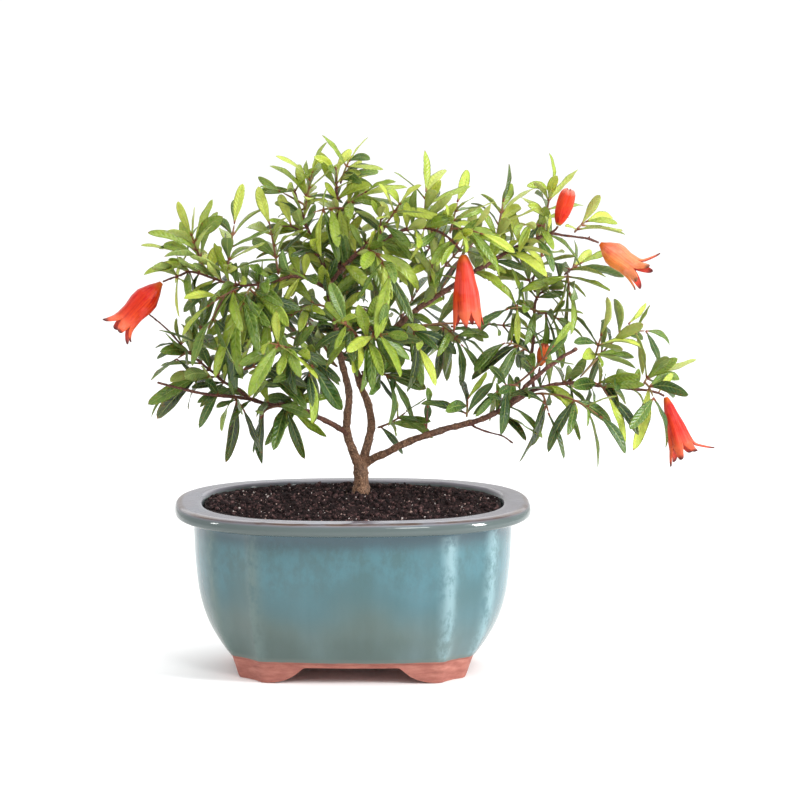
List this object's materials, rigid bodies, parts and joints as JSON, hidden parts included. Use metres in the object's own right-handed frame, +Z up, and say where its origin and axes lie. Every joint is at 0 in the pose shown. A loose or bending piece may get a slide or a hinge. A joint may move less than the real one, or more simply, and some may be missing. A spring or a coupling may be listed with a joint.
{
  "type": "potted bonsai",
  "caption": "Flowering pomegranate bonsai with a forked trunk, narrow leaves and hanging red-orange tubular flowers, in a glazed four-footed pot with soft cut corners.",
  "frame": {"origin": "middle of the whole plant and pot over the surface that it stands on; the pot itself stands to the left of it, because the plant reaches further to the right", "axes": "+X to the right along the pot's long side and the plant's long reach, +Y from the front to the back, +Z up"},
  "size_m": [0.3402, 0.1704, 0.3097],
  "materials": {
    "glaze": "gloss",
    "soil": "matte",
    "screen": "matte",
    "bark": "matte",
    "leaf": "satin",
    "calyx": "satin",
    "petal": "satin"
  },
  "bodies": {
    "root": {"bud_small": "calyx", "bud_top": "calyx", "drain_screen": "screen", "flower_front": "calyx", "flower_left": "calyx", "flower_right_lower": "calyx", "flower_right_upper": "calyx", "petals_front": "petal", "petals_left": "petal", "petals_right_lower": "petal", "petals_right_upper": "petal", "pot": "glaze", "shoot_back_far": "leaf", "shoot_back_left": "leaf", "shoot_back_right": "leaf", "shoot_back_top": "leaf", "shoot_centre_front": "leaf", "shoot_centre_right": "leaf", "shoot_cross_hang": "leaf", "shoot_cross_inner": "leaf", "shoot_cross_middle": "leaf", "shoot_cross_outer": "leaf", "shoot_flower_stalk_leaves": "leaf", "shoot_front_left": "leaf", "shoot_front_middle": "leaf", "shoot_grey_rise": "leaf", "shoot_grey_tip": "leaf", "shoot_leader_leaf": "leaf", "shoot_left_arch": "leaf", "shoot_left_inner": "leaf", "shoot_left_low_hang": "leaf", "shoot_left_low_mid": "leaf", "shoot_left_low_rise": "leaf", "shoot_left_low_tip": "leaf", "shoot_left_middle": "leaf", "shoot_left_upright": "leaf", "shoot_limb_end": "leaf", "shoot_limb_pair": "leaf", "shoot_limb_spur": "leaf", "shoot_low_twig": "leaf", "shoot_middle_twig": "leaf", "shoot_right_end": "leaf", "shoot_right_hang": "leaf", "shoot_right_twig": "leaf", "shoot_riser_fork": "leaf", "shoot_riser_left": "leaf", "shoot_riser_right": "leaf", "shoot_riser_tip": "leaf", "shoot_small_twig": "leaf", "shoot_thin_twig": "leaf", "shoot_top": "leaf", "shoot_top_left": "leaf", "shoot_top_right": "leaf", "shoot_upper_left_crown": "leaf", "shoot_upper_left_fan": "leaf", "shoot_upper_left_hang": "leaf", "shoot_upper_left_rise": "leaf", "shoot_upper_left_twig": "leaf", "soil": "soil", "wood": "bark"}
  },
  "joints": []
}
